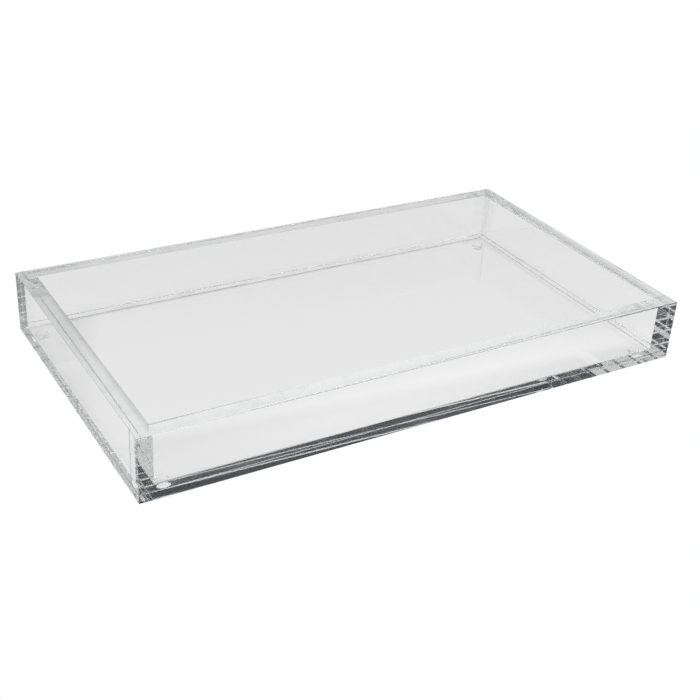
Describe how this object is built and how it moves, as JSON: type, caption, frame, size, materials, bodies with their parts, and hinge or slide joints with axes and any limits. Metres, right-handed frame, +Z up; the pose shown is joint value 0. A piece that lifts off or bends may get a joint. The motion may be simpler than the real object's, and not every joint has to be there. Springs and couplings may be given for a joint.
{
  "type": "dresser vanity tray",
  "caption": "Shallow rectangular tray of clear acrylic, square-cornered, with thick upright walls cemented on a thinner base and clear bumper feet under its corners.",
  "frame": {"origin": "centre of the tray's footprint, on the surface its feet stand on", "axes": "+X along the tray's length towards its right end, +Y towards its back wall, +Z up"},
  "size_m": [0.406, 0.23, 0.0486],
  "materials": {
    "acrylic_base": "clear cast acrylic sheet, 6 mm, polished faces and edges",
    "acrylic_wall": "clear cast acrylic sheet, 12 mm, polished faces and edges",
    "bumper": "clear self-adhesive polyurethane bumper, smooth, slightly soft sheen"
  },
  "bodies": {
    "root": {"base_panel": "acrylic_base", "front_wall": "acrylic_wall", "back_wall": "acrylic_wall", "left_wall": "acrylic_wall", "right_wall": "acrylic_wall", "foot_front_left": "bumper", "foot_front_right": "bumper", "foot_back_left": "bumper", "foot_back_right": "bumper"}
  },
  "joints": []
}
